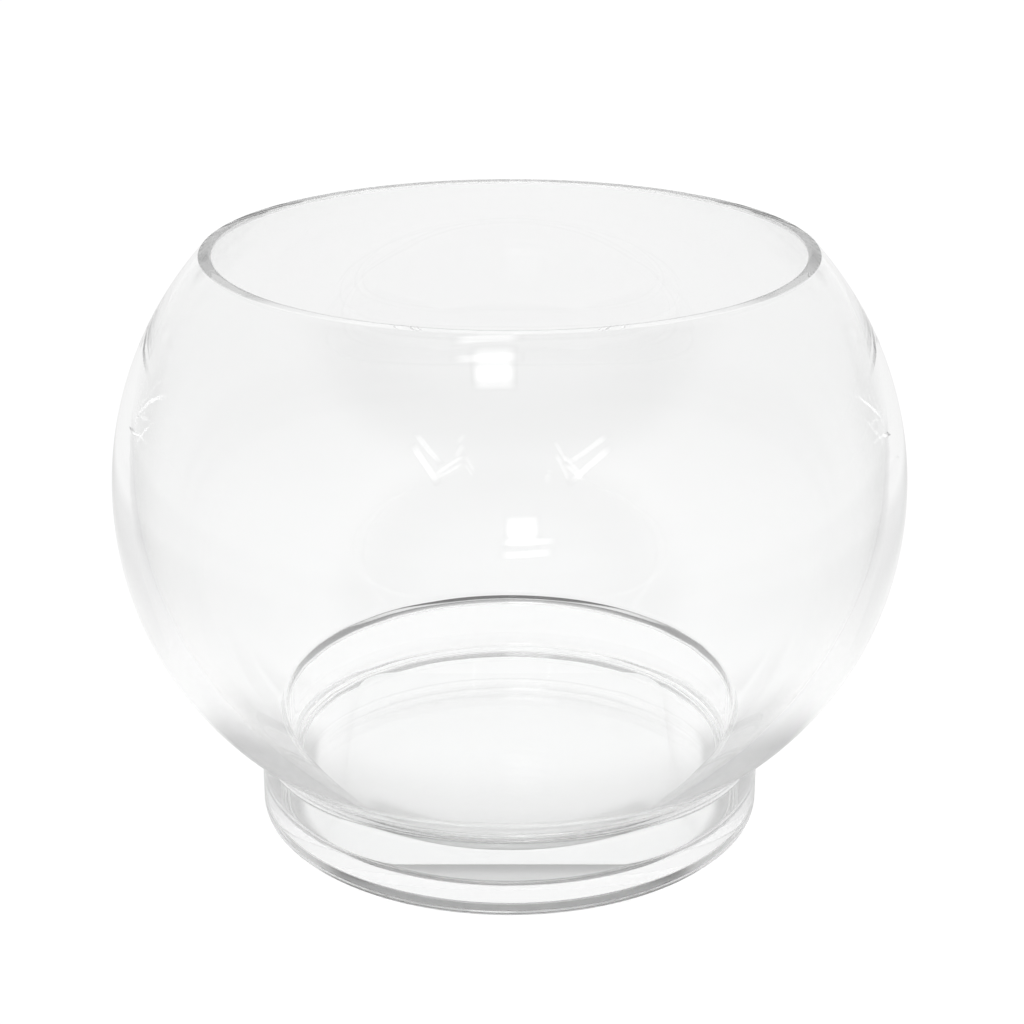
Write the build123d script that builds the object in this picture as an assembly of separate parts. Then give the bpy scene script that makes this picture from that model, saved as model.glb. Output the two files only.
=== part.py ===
from build123d import *
import math
import os

# Rose bowl vase of clear glass: a blown globe hot-joined to a hollow glass foot, with a
# blank paper label under the base. Millimetres, +Z up, origin on the standing surface,
# at the middle of the ring that the foot stands on.

# Driving sizes of the bowl
bowl_diameter = 203.2
overall_height = 152.0
equator_height = 90.0
equator_bend = 90.0
rim_diameter = 154.0
rim_width = 3.7
rim_edge_round = 0.25
equator_wall = 4.3
hollow_rise = 4.5

# Driving sizes of the foot
foot_diameter = 133.8
foot_height = 20.6
foot_wall = 4.4
shoulder_round = 2.2
lip_rise = 3.9
lip_round = 2.0
floor_thickness = 4.2
floor_corner_round = 3.2
recess_depth = 2.2
recess_corner_round = 0.5
standing_ring_width = 3.3
standing_edge_round = 1.8

# Driving sizes of the label
label_width = 92.0
label_corner_round = 12.0
label_thickness = 0.2
label_margin = 0.7

# Shared places, worked out from the driving sizes
bowl_radius = bowl_diameter / 2
rim_radius = rim_diameter / 2
foot_radius = foot_diameter / 2
throat_radius = foot_radius - foot_wall
waist_radius = foot_radius - shoulder_round
lip_height = foot_height + lip_rise
floor_top = recess_depth + floor_thickness
recess_radius = foot_radius - standing_edge_round - standing_ring_width
points_per_curve = 9


def globe_curve(equator, end):
    """Line of a globe from its equator to an end above or below it, both (radius, height).

    radius**2 = equator radius**2 - roundness * rise**2 - squareness * rise**4, where rise is the
    height away from the equator. The roundness sets the bend at the equator, and the squareness
    is what brings the line to its end.
    """
    equator_radius, level = equator
    end_radius, end_height = end
    roundness = equator_radius / equator_bend
    last = abs(end_height - level)
    side = math.copysign(1, end_height - level)
    squareness = (equator_radius**2 - end_radius**2 - roundness * last**2) / last**4
    points = []
    for i in range(points_per_curve):
        rise = last * i / (points_per_curve - 1)
        radius = math.sqrt(equator_radius**2 - roundness * rise**2 - squareness * rise**4)
        points.append((radius, 0, level + side * rise))
    slope = (roundness * last + 2 * squareness * last**3) / end_radius
    return Spline(points, tangents=((0, 0, side), (-slope, 0, side)))


def ring_edge(solid, radius, height):
    """The round edge of a turned solid at this radius and height."""
    rings = solid.edges().filter_by(GeomType.CIRCLE)
    return min(rings, key=lambda e: abs(e.radius - radius) + abs(e.arc_center.Z - height))


def make_bowl():
    """Blown globe with a cut and polished rim, open into the foot through its throat.

    The hot glass sagged, so the hollow is widest a little above the outside's widest place.
    """
    outer_equator = (bowl_radius, equator_height)
    inner_equator = (bowl_radius - equator_wall, equator_height + hollow_rise)
    rim_inner = rim_radius - rim_width
    outside = [
        globe_curve(outer_equator, (waist_radius, foot_height)),
        globe_curve(outer_equator, (rim_radius, overall_height)),
    ]
    inside = [
        globe_curve(inner_equator, (rim_inner, overall_height)),
        globe_curve(inner_equator, (throat_radius, lip_height)),
    ]
    rim = Line((rim_radius, 0, overall_height), (rim_inner, 0, overall_height))
    throat = Line((throat_radius, 0, lip_height), (throat_radius, 0, foot_height))
    seam = Line((throat_radius, 0, foot_height), (waist_radius, 0, foot_height))
    section = make_face(outside + inside + [rim, throat, seam])
    bowl = revolve(section, Axis.Z)
    bowl = fillet(ring_edge(bowl, throat_radius, lip_height), lip_round)
    rim_edges = [ring_edge(bowl, r, overall_height) for r in (rim_radius, rim_inner)]
    return fillet(rim_edges, rim_edge_round)


def make_foot():
    """Hollow foot: a short wall and a floor, with a shallow recess and a standing ring below."""
    outline = Polyline(
        (0, 0, recess_depth),
        (recess_radius, 0, recess_depth),
        (recess_radius, 0, 0),
        (foot_radius, 0, 0),
        (foot_radius, 0, foot_height),
        (throat_radius, 0, foot_height),
        (throat_radius, 0, floor_top),
        (0, 0, floor_top),
        close=True,
    )
    foot = revolve(make_face(outline), Axis.Z)
    foot = fillet(ring_edge(foot, throat_radius, floor_top), floor_corner_round)
    foot = fillet(ring_edge(foot, foot_radius, foot_height), shoulder_round)
    foot = fillet(ring_edge(foot, foot_radius, 0), standing_edge_round)
    recess_edges = [ring_edge(foot, recess_radius, h) for h in (0, recess_depth)]
    return fillet(recess_edges, recess_corner_round)


def make_label():
    """Blank paper label stuck to the recess; its corners clear the recess edge by the margin."""
    corner_reach = recess_radius - label_margin - label_corner_round
    corner_side = label_width / 2 - label_corner_round
    label_length = 2 * (math.sqrt(corner_reach**2 - corner_side**2) + label_corner_round)
    sheet = RectangleRounded(label_width, label_length, label_corner_round)
    return Pos(0, 0, recess_depth - label_thickness) * extrude(sheet, label_thickness)


os.makedirs("parts", exist_ok=True)
pieces = {"bowl": make_bowl(), "foot": make_foot(), "base_label": make_label()}
for name, piece in pieces.items():
    piece.label = name
    export_step(piece, f"parts/{name}.step")
    print(name, round(piece.volume, 1), piece.bounding_box().size)
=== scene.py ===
import math
import bpy
import numpy as np
from mathutils import Matrix, Vector


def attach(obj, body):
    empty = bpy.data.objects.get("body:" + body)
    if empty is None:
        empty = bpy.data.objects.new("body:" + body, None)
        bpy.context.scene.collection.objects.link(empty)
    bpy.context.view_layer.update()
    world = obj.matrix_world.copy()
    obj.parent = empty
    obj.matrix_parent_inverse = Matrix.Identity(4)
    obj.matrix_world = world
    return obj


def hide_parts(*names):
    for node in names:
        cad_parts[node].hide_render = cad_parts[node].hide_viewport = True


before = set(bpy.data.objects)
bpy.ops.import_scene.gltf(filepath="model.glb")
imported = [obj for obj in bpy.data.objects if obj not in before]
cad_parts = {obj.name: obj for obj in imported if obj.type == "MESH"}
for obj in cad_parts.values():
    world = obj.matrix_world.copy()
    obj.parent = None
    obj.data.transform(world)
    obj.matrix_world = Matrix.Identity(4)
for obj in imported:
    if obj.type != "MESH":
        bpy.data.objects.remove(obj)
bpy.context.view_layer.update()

# Bowl
# A globe of clear soda glass, blown, cut off level at the mouth and polished there. The hot glass
# sagged a little, so the hollow is widest above the outside's widest place. The open lower end is
# melted onto the foot's top land: at the waist the two are one glass, with no surface between.
bowl_radius = 0.1016
overall_height = 0.152
equator_height = 0.090
equator_bend = 0.090
equator_wall = 0.0043
hollow_rise = 0.0045
rim_radius = 0.077
rim_width = 0.0037
rim_edge_round = 0.00025
foot_height = 0.0206
waist_radius = 0.0647
throat_radius = 0.0625
lip_rise = 0.0039
lip_round = 0.002

wall_step = 0.0016
curve_points = 4000
rim_edge_points = 9
rim_face_points = 6
lip_points = 25
throat_points = 5
segments_around = 384
sharp_angle = math.radians(40)
height_tolerance = 1e-7


def globe_line(equator, end):
    """Points (radius, height) and outward normals from a globe's equator to one end.

    radius squared = equator radius squared - roundness * rise ^ 2 - squareness * rise ^ 4, where rise
    is the height above the equator. The roundness gives the line its bend at the equator, the same
    above and below, and the squareness is what brings the line to its end.
    """
    equator_radius, level = equator
    end_radius, end_height = end
    roundness = equator_radius / equator_bend
    last = end_height - level
    squareness = (equator_radius ** 2 - end_radius ** 2 - roundness * last ** 2) / last ** 4
    rise = np.linspace(0, last, curve_points)
    radius = np.sqrt(equator_radius ** 2 - roundness * rise ** 2 - squareness * rise ** 4)
    points = np.stack([radius, level + rise], 1)
    normals = np.stack([radius, roundness * rise + 2 * squareness * rise ** 3], 1)
    return points, normals / np.linalg.norm(normals, axis=1)[:, None]


def arc(centre, start, end, count):
    """Points of the shorter arc about a centre, from start to end."""
    first = math.atan2(start[1] - centre[1], start[0] - centre[0])
    last = math.atan2(end[1] - centre[1], end[0] - centre[0])
    sweep = (last - first + math.pi) % (2 * math.pi) - math.pi
    angle = first + sweep * np.linspace(0, 1, count)
    radius = math.hypot(start[0] - centre[0], start[1] - centre[1])
    return np.stack([centre[0] + radius * np.cos(angle), centre[1] + radius * np.sin(angle)], 1)


def rounded_end(points, normals, depth, axis, line, count):
    """A globe line cut back, and the arc of radius depth that takes it on to a straight line.

    The arc's centre lies depth inside the glass from both: it is where the globe line, moved
    along its normal by depth, is depth away from the straight line. axis 0 is a line of constant
    radius, axis 1 one of constant height. depth is negative where the glass is outside the line.
    """
    centres = points - depth * normals
    side = math.copysign(1, centres[0, axis] - line)
    gap = side * (centres[:, axis] - line) - abs(depth)
    last = int(np.argmax(gap <= 0))
    share = gap[last - 1] / (gap[last - 1] - gap[last])
    centre = centres[last - 1] + share * (centres[last] - centres[last - 1])
    start = points[last - 1] + share * (points[last] - points[last - 1])
    end = centre.copy()
    end[axis] = line
    return points[:last], arc(centre, start, end, count)


def thinned(points):
    """The points of a dense line that are kept so that neighbours lie about one wall step apart."""
    runs = np.linalg.norm(np.diff(points, axis=0), axis=1)
    length = np.concatenate([[0], np.cumsum(runs)])
    keep = np.linspace(0, length[-1], int(length[-1] / wall_step) + 1)
    return np.stack([np.interp(keep, length, points[:, 0]), np.interp(keep, length, points[:, 1])], 1)


def ringed(name, rings, ends=None):
    """Piece whose surface joins each ring of points (x, y, z) to the next one.

    Rows are the rings and columns are the places round them, and each square of four neighbours is
    a face. Without ends the last ring joins the first; two end points are each joined by a fan.
    """
    rows, columns = rings.shape[:2]
    places = rings.reshape(-1, 3)
    row = np.arange(rows if ends is None else rows - 1)[:, None]
    column = np.arange(columns)[None]
    here = row * columns
    above = (row + 1) % rows * columns
    beside = (column + 1) % columns
    squares = np.stack([here + column, here + beside, above + beside, above + column], 2)
    faces = squares.reshape(-1, 4).tolist()
    if ends is not None:
        low_end = np.full(columns, len(places))
        top = (rows - 1) * columns
        low_fan = np.stack([low_end, beside[0], column[0]], 1)
        high_fan = np.stack([top + column[0], top + beside[0], low_end + 1], 1)
        faces += low_fan.tolist() + high_fan.tolist()
        places = np.vstack([places, ends])
    mesh = bpy.data.meshes.new(name)
    mesh.from_pydata(places.tolist(), [], faces)
    piece = bpy.data.objects.new(name, mesh)
    bpy.context.scene.collection.objects.link(piece)
    return piece


def turned(name, line, closed):
    """Piece made by carrying a profile of (radius, height) points round the Z axis.

    A point is (radius * cos angle, radius * sin angle, height), at even angles. A closed profile
    joins its last point to its first; an open one starts and ends on the axis. The glass is on the
    left of the way the profile runs.
    """
    rows = line if closed else line[1:-1]
    angle = np.arange(segments_around) * (2 * math.pi / segments_around)
    sides = rows[:, None, :1] * np.stack([np.cos(angle), np.sin(angle)], 1)[None]
    heights = np.broadcast_to(rows[:, None, 1:], sides.shape[:2] + (1,))
    ends = None if closed else [(0, 0, line[0, 1]), (0, 0, line[-1, 1])]
    piece = ringed(name, np.concatenate([sides, heights], 2), ends)
    piece.data.polygons.foreach_set("use_smooth", np.ones(len(piece.data.polygons), dtype=bool))
    piece.data.set_sharp_from_angle(angle=sharp_angle)
    return piece


def fused_at(piece, height):
    """Gives the faces that lie flat at this height the second material slot."""
    mesh = piece.data
    corners = np.empty(len(mesh.vertices) * 3)
    mesh.vertices.foreach_get("co", corners)
    level = np.abs(corners.reshape(-1, 3)[:, 2] - height) < height_tolerance
    loops = np.empty(len(mesh.loops), dtype=int)
    mesh.loops.foreach_get("vertex_index", loops)
    starts = np.empty(len(mesh.polygons), dtype=int)
    mesh.polygons.foreach_get("loop_start", starts)
    flat = np.logical_and.reduceat(level[loops], starts)
    mesh.polygons.foreach_set("material_index", flat.astype(int))


outside = (bowl_radius, equator_height)
hollow = (bowl_radius - equator_wall, equator_height + hollow_rise)
outer_low = globe_line(outside, (waist_radius, foot_height))[0]
outer_high, outer_edge = rounded_end(
    *globe_line(outside, (rim_radius, overall_height)),
    rim_edge_round, 1, overall_height, rim_edge_points)
inner_high, inner_edge = rounded_end(
    *globe_line(hollow, (rim_radius - rim_width, overall_height)),
    -rim_edge_round, 1, overall_height, rim_edge_points)
inner_low, lip = rounded_end(
    *globe_line(hollow, (throat_radius, foot_height + lip_rise)),
    -lip_round, 0, throat_radius, lip_points)
bowl_line = np.vstack([
    thinned(outer_low[::-1])[:-1],
    thinned(outer_high),
    outer_edge[1:],
    np.linspace(outer_edge[-1], inner_edge[-1], rim_face_points)[1:-1],
    inner_edge[::-1],
    thinned(inner_high)[::-1][1:-1],
    thinned(inner_low),
    lip[1:],
    np.linspace(lip[-1], (throat_radius, foot_height), throat_points)[1:],
])
bowl = turned("clear_bowl", bowl_line, True)

# Faint level rings from the blowing change the glass's clearness a little and ripple its surface
glass_index = 1.5
ring_scale = (12, 12, 120)
faint_tint = (0.991, 0.993, 0.992, 1)
clear_tint = (0.998, 1.0, 0.999, 1)
ripple_strength = 0.15
ripple_depth = 0.0001


def opened(owner):
    """The nodes and links of a material or a world, whose node tree is switched on first."""
    owner.use_nodes = True
    return owner.node_tree.nodes, owner.node_tree.links


clear_glass = bpy.data.materials.new("clear_soda_glass")
nodes, links = opened(clear_glass)
shader = nodes["Principled BSDF"]
shader.inputs["Roughness"].default_value = 0.0
shader.inputs["IOR"].default_value = glass_index
shader.inputs["Transmission Weight"].default_value = 1.0
place = nodes.new("ShaderNodeTexCoord")
stretch = nodes.new("ShaderNodeMapping")
stretch.inputs["Scale"].default_value = ring_scale
links.new(place.outputs["Object"], stretch.inputs["Vector"])
blowing_rings = nodes.new("ShaderNodeTexNoise")
blowing_rings.inputs["Scale"].default_value = 1.0
blowing_rings.inputs["Detail"].default_value = 1.0
links.new(stretch.outputs["Vector"], blowing_rings.inputs["Vector"])
clearness = nodes.new("ShaderNodeValToRGB")
clearness.color_ramp.elements[0].color = faint_tint
clearness.color_ramp.elements[1].color = clear_tint
links.new(blowing_rings.outputs["Fac"], clearness.inputs["Fac"])
links.new(clearness.outputs["Color"], shader.inputs["Base Color"])
ripple = nodes.new("ShaderNodeBump")
ripple.inputs["Strength"].default_value = ripple_strength
ripple.inputs["Distance"].default_value = ripple_depth
links.new(blowing_rings.outputs["Fac"], ripple.inputs["Height"])
links.new(ripple.outputs["Normal"], shader.inputs["Normal"])

# The faces that are melted together at the waist are no surface any more
fused_glass = bpy.data.materials.new("fused_glass_no_surface")
opened(fused_glass)[0]["Principled BSDF"].inputs["Alpha"].default_value = 0.0

bowl.data.materials.append(clear_glass)
bowl.data.materials.append(fused_glass)
fused_at(bowl, foot_height)
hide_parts("bowl")
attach(bowl, "root")

# Foot
# A short hollow cup of the same clear glass, pressed: an upright wall with a rounded shoulder and
# a flat floor. Under the floor a shallow recess leaves only a narrow ring to stand on. Its top
# land is melted into the bowl.
shoulder_round = 0.0022
foot_radius = waist_radius + shoulder_round
recess_depth = 0.0022
recess_corner_round = 0.0005
floor_thickness = 0.0042
floor_top = recess_depth + floor_thickness
floor_corner_round = 0.0032
standing_edge_round = 0.0018
standing_ring_width = 0.0033
recess_radius = foot_radius - standing_edge_round - standing_ring_width

corner_points = 25
flat_step = 0.003
corner_margin = 0.00005


def rounded_polyline(corners, rounds):
    """Straight runs between the corners, with a tangent arc of the given radius at each.

    A run gets points close to its ends and even ones between, so that a flat stays flat right up
    to the arc beside it.
    """
    corners = np.array(corners, float)
    starts, ends, arcs = [corners[0]], [], []
    for before, here, after, round_off in zip(corners[:-2], corners[1:-1], corners[2:], rounds):
        back = (before - here) / np.linalg.norm(before - here)
        on = (after - here) / np.linalg.norm(after - here)
        half = math.acos(float(np.clip(back @ on, -1, 1))) / 2
        cut = round_off / math.tan(half)
        centre = here + (back + on) / np.linalg.norm(back + on) * round_off / math.sin(half)
        ends.append(here + back * cut)
        starts.append(here + on * cut)
        arcs.append(arc(centre, ends[-1], starts[-1], corner_points) if round_off else here[None])
    ends.append(corners[-1])
    parts = []
    for start, end, rounding in zip(starts, ends, arcs + [corners[-1:]]):
        length = np.linalg.norm(end - start)
        even = np.linspace(0, length, max(2, int(length / flat_step)))
        steps = np.unique(np.concatenate([[corner_margin, length - corner_margin], even[1:-1]]))
        parts += [start + (end - start) * (steps / length)[:, None], rounding]
    return np.vstack([corners[:1], *parts])


foot_line = rounded_polyline(
    [(0, recess_depth), (recess_radius, recess_depth), (recess_radius, 0), (foot_radius, 0),
     (foot_radius, foot_height), (throat_radius, foot_height), (throat_radius, floor_top), (0, floor_top)],
    [recess_corner_round, recess_corner_round, standing_edge_round, shoulder_round, 0, floor_corner_round])
foot = turned("hollow_foot", foot_line, False)
foot.data.materials.append(clear_glass)
foot.data.materials.append(fused_glass)
fused_at(foot, foot_height)
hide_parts("foot")
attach(foot, "root")

# Base label
# A blank sheet of white paper, cut with rounded corners that clear the edge of the recess. It is
# stuck up into the recess under the floor, with a thin film of air left between it and the glass.
label_half_width = 0.046
label_half_length = 0.0474
label_corner_round = 0.012
label_thickness = 0.00015
air_film = 0.00005
label_top = recess_depth - air_film
label_bottom = label_top - label_thickness

label_points = 128
ring_shares = [0.35, 0.7, 0.99, 1.0]


def rounded_sheet(name):
    """A flat sheet with rounded corners and square edges: rings of one outline.

    The outline is a circle of the corner radius pushed apart by the straight sides. It is carried
    from the middle of the underside out, up the edge and back to the middle of the top.
    """
    angle = (np.arange(label_points) + 0.5) * (2 * math.pi / label_points)
    turn = np.stack([np.cos(angle), np.sin(angle)], 1)
    straight = np.array([label_half_width, label_half_length]) - label_corner_round
    outline = np.sign(turn) * straight + label_corner_round * turn
    shares = np.array(ring_shares + ring_shares[::-1])
    levels = np.repeat([label_bottom, label_top], len(ring_shares))
    flat = shares[:, None, None] * outline[None]
    heights = np.broadcast_to(levels[:, None, None], flat.shape[:2] + (1,))
    return ringed(name, np.concatenate([flat, heights], 2), [(0, 0, label_bottom), (0, 0, label_top)])


label = rounded_sheet("blank_base_label")
fibre_scale = 900.0
fibre_detail = 4.0
fibre_shade = 0.86
fibre_light = 0.94
label_paper = bpy.data.materials.new("white_label_paper")
nodes, links = opened(label_paper)
shader = nodes["Principled BSDF"]
shader.inputs["Roughness"].default_value = 0.7
place = nodes.new("ShaderNodeTexCoord")
fibre = nodes.new("ShaderNodeTexNoise")
fibre.inputs["Scale"].default_value = fibre_scale
fibre.inputs["Detail"].default_value = fibre_detail
links.new(place.outputs["Object"], fibre.inputs["Vector"])
tone = nodes.new("ShaderNodeMapRange")
tone.inputs["To Min"].default_value = fibre_shade
tone.inputs["To Max"].default_value = fibre_light
links.new(fibre.outputs["Fac"], tone.inputs["Value"])
links.new(tone.outputs["Result"], shader.inputs["Base Color"])
label.data.materials.append(label_paper)
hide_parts("base_label")
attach(label, "root")

# Studio floor
# A broad white sheet under the vase, plain white where it is seen directly. As the glass shows it,
# its glow holds painted shade: dimmer far off, out to the sides and in a patch on each side, a painted
# shadow of the vase round the foot except behind, and a painted shadow of the label under its front half.
floor_half = 3.0
floor_level = -0.0001
white = (1, 1, 1, 1)
open_white = 1.05

# The light that falls on the matt sheet gives a share of its brightness, and its own glow the rest
matt_grey = (0.3, 0.3, 0.3, 1)
matt_share = 0.34

# Each painted shade's depth, as a share of white, and the spans over which it comes and goes, in metres,
# or behind the foot in the sine of the angle round it
# Painted shade where less light falls on the floor: far off, out to the sides and in a patch on each side
far_depth = 0.07
far_span = (0.12, 0.36)
side_depth = 0.05
side_span = (0.03, 0.25)
patch_depth = 0.28
patch_inner_span = (0.15, 0.22)
patch_outer_span = (0.33, 0.41)
# Painted shadow of the vase on the floor round the foot, except behind it
painted_foot_shadow_depth = 0.38
foot_inner_span = (0.055, 0.058)
foot_outer_span = (0.088, 0.112)
foot_back_span = (0.0, 0.35)
# Painted shadow of the label on the floor under its front half
painted_label_shadow_depth = 0.30
label_front_span = (-0.065, -0.061)
label_back_span = (0.0, 0.04)
label_side_span = (0.040, 0.046)


def level_square(name, half, level):
    """A level square sheet of this half width, at this height."""
    mesh = bpy.data.meshes.new(name)
    corners = [(-half, -half, level), (half, -half, level), (half, half, level), (-half, half, level)]
    mesh.from_pydata(corners, [], [(0, 1, 2, 3)])
    sheet = bpy.data.objects.new(name, mesh)
    bpy.context.scene.collection.objects.link(sheet)
    return sheet


def wired(kind, *inputs, **settings):
    """Outputs of a new node of this kind; each input is a number or the output that feeds it."""
    node = nodes.new(kind)
    for name, value in settings.items():
        setattr(node, name, value)
    for socket, value in zip(node.inputs, inputs):
        if isinstance(value, bpy.types.NodeSocket):
            links.new(value, socket)
        else:
            socket.default_value = value
    return node.outputs


def figured(operation, first, second=0.0):
    """The output of one sum, product or the like of two values."""
    return wired("ShaderNodeMath", first, second, operation=operation)[0]


def product(first, *others):
    """The output of all the values multiplied."""
    for other in others:
        first = figured("MULTIPLY", first, other)
    return first


def eased(value, span, low=0.0, high=1.0):
    """Goes smoothly from low at the span's start to high at its end, and is level outside it."""
    return wired("ShaderNodeMapRange", value, *span, low, high, interpolation_type="SMOOTHSTEP")[0]


def shaded(depth, *shares):
    """1 less a shade of this depth times the shares, each from 0 to 1, that say where it lies."""
    return figured("SUBTRACT", 1.0, product(depth, *shares))


studio_floor = level_square("studio_floor", floor_half, floor_level)
white_floor = bpy.data.materials.new("white_floor")
nodes, links = opened(white_floor)
shader = nodes["Principled BSDF"]
shader.inputs["Base Color"].default_value = matt_grey
shader.inputs["Roughness"].default_value = 1.0
shader.inputs["Specular IOR Level"].default_value = 0.0
shader.inputs["Emission Color"].default_value = white
place = wired("ShaderNodeTexCoord")["Object"]
spot = wired("ShaderNodeSeparateXYZ", place)
away = wired("ShaderNodeVectorMath", place, operation="LENGTH")["Value"]
aside = figured("ABSOLUTE", spot["X"])
not_behind = eased(figured("DIVIDE", spot["Y"], away), foot_back_span, 1.0, 0.0)
# The glow that the glass sees: white with the painted shade and the painted shadows multiplied in
painted_shade_through_glass = product(
    shaded(far_depth, eased(away, far_span)),
    shaded(side_depth, eased(aside, side_span)),
    shaded(patch_depth, eased(aside, patch_inner_span), eased(away, patch_outer_span, 1.0, 0.0)),
    shaded(painted_foot_shadow_depth, not_behind, eased(away, foot_inner_span), eased(away, foot_outer_span, 1.0, 0.0)),
    shaded(painted_label_shadow_depth, eased(spot["Y"], label_front_span), eased(spot["Y"], label_back_span, 1.0, 0.0),
           eased(aside, label_side_span, 1.0, 0.0)))
path = wired("ShaderNodeLightPath")
by_glass = figured("MAXIMUM", path["Is Glossy Ray"], path["Is Transmission Ray"])
seen = figured("MAXIMUM", product(by_glass, painted_shade_through_glass), product(path["Is Camera Ray"], open_white))
glow = figured("MAXIMUM", figured("SUBTRACT", seen, matt_share), 0.0)
links.new(glow, shader.inputs["Emission Strength"])
studio_floor.data.materials.append(white_floor)

# Studio light
# White walls, even at the sides, with a dark gap low behind and a darker ceiling that tips towards
# the viewer. A soft box over the front and narrow lamps in front on both sides show as reflections
# on the bowl, and matt surfaces get one even light.
light_on_matt = 1.1

# A span is where one tone goes over into the next, in parts of a direction of length 1
wall_tone = 0.96
ceiling_tone = 0.28
ceiling_tip = (0, -0.24, 1)
ceiling_span = (0.56, 0.78)
overhead_glow = 0.25
overhead_span = (0.85, 1.0)
side_wall_tone = 0.88
side_wall_span = (0.55, 0.85)
gap_depth = 0.88
gap_low_span = (0.14, 0.18)
gap_high_span = (0.258, 0.282)
gap_side_span = (0.80, 0.92)


def moved(value, goal, share):
    """The value plus this share of the way to the goal."""
    return figured("ADD", value, product(share, figured("SUBTRACT", goal, value)))


world = bpy.data.worlds.new("white_studio")
bpy.context.scene.world = world
nodes, links = opened(world)
sky = nodes["Background"]
sky.inputs["Color"].default_value = white
direction = wired("ShaderNodeTexCoord")["Generated"]
heading = wired("ShaderNodeSeparateXYZ", direction)
upward = wired("ShaderNodeVectorMath", direction, ceiling_tip, operation="DOT_PRODUCT")["Value"]
overhead = eased(upward, overhead_span, 0.0, overhead_glow)
walls = figured("ADD", overhead, eased(upward, ceiling_span, wall_tone, ceiling_tone))
side_wall = eased(figured("ABSOLUTE", heading["X"]), side_wall_span)
gap_band = product(eased(heading["Z"], gap_low_span), eased(heading["Z"], gap_high_span, 1.0, 0.0))
back_gap = product(gap_depth, gap_band, eased(heading["Y"], gap_side_span))
around = figured("SUBTRACT", moved(walls, side_wall_tone, side_wall), back_gap)
path = wired("ShaderNodeLightPath")
on_matt = figured("GREATER_THAN", path["Diffuse Depth"], 0.5)
level = figured("MAXIMUM", moved(around, light_on_matt, on_matt), path["Is Camera Ray"])
links.new(level, sky.inputs["Strength"])

card_distance = 1.5
card_target = Vector((0, 0, 0.09))
card_half = 0.5
card_fade_span = (0.25, 0.5)
# Name, both ends as directions from the bowl, width and brightness of each card
cards = [
    ("soft_box", (-0.065, -0.43, 0.90), (-0.065, -0.61, 0.79), 0.20, 3.6),
    ("soft_box_bar", (-0.24, -0.385, 0.89), (0.06, -0.385, 0.92), 0.07, 3.0),
    ("left_strip", (-0.42, -0.73, 0.54), (-0.31, -0.87, 0.38), 0.040, 3.0),
    ("right_strip", (0.44, -0.73, 0.53), (0.26, -0.89, 0.39), 0.040, 3.0),
    ("right_inner_strip", (0.20, -0.82, 0.54), (0.27, -0.89, 0.39), 0.024, 2.0),
    ("left_inner_strip", (-0.20, -0.80, 0.57), (-0.24, -0.83, 0.51), 0.030, 1.4),
]


def facing_card(name, start, end, width):
    """A flat card that faces the bowl, between two directions seen from the bowl.

    The width is in the same measure as the directions. The mesh is a unit square, which is turned
    and stretched to the card's place and size.
    """
    first = card_distance * Vector(start)
    along = card_distance * Vector(end) - first
    middle = first + along / 2
    outward = middle.normalized()
    sideways = (along - along.dot(outward) * outward).normalized()
    axes = Matrix([sideways, outward.cross(sideways), outward]).transposed().to_4x4()
    size = Matrix.Diagonal((along.length, card_distance * width, 1, 1))
    card = level_square(name, card_half, 0)
    card.matrix_world = Matrix.Translation(card_target + middle) @ axes @ size
    card.visible_camera = False
    return card


for name, start, end, width, brightness in cards:
    card = facing_card(name, start, end, width)
    card_glow = bpy.data.materials.new(name)
    nodes, links = opened(card_glow)
    nodes.remove(nodes["Principled BSDF"])
    across = wired("ShaderNodeSeparateXYZ", wired("ShaderNodeTexCoord")["Object"])
    ends = eased(figured("ABSOLUTE", across["X"]), card_fade_span, brightness, 0.0)
    sides = eased(figured("ABSOLUTE", across["Y"]), card_fade_span, 1.0, 0.0)
    light = wired("ShaderNodeEmission", white, product(ends, sides))[0]
    links.new(light, nodes["Material Output"].inputs["Surface"])
    card.data.materials.append(card_glow)

# Camera
# Stands in front of the vase and looks down on it from the photograph's height and angle. The focal
# length and the shift are in pixels of the photograph, which is as wide as it is high.
photo_pixels = 1024
focal_pixels = 2117
shift_pixels = 2.4
film_width = 36
camera_place = (0, -0.5152, 0.2819)
downward_tilt = 21.31
near_limit = 0.01
glass_bounces = 300
all_bounces = 400
camera_data = bpy.data.cameras.new("camera")
camera = bpy.data.objects.new("camera", camera_data)
bpy.context.scene.collection.objects.link(camera)
camera_data.sensor_width = film_width
camera_data.lens = film_width * focal_pixels / photo_pixels
camera_data.shift_x = shift_pixels / photo_pixels
camera_data.clip_start = near_limit
camera.location = camera_place
camera.rotation_euler = (math.radians(90 - downward_tilt), 0, 0)
bpy.context.scene.camera = camera
bpy.context.scene.view_settings.view_transform = "Standard"
bpy.context.scene.cycles.glossy_bounces = glass_bounces
bpy.context.scene.cycles.transmission_bounces = glass_bounces
bpy.context.scene.cycles.max_bounces = all_bounces
bpy.context.scene.cycles.blur_glossy = 0.0
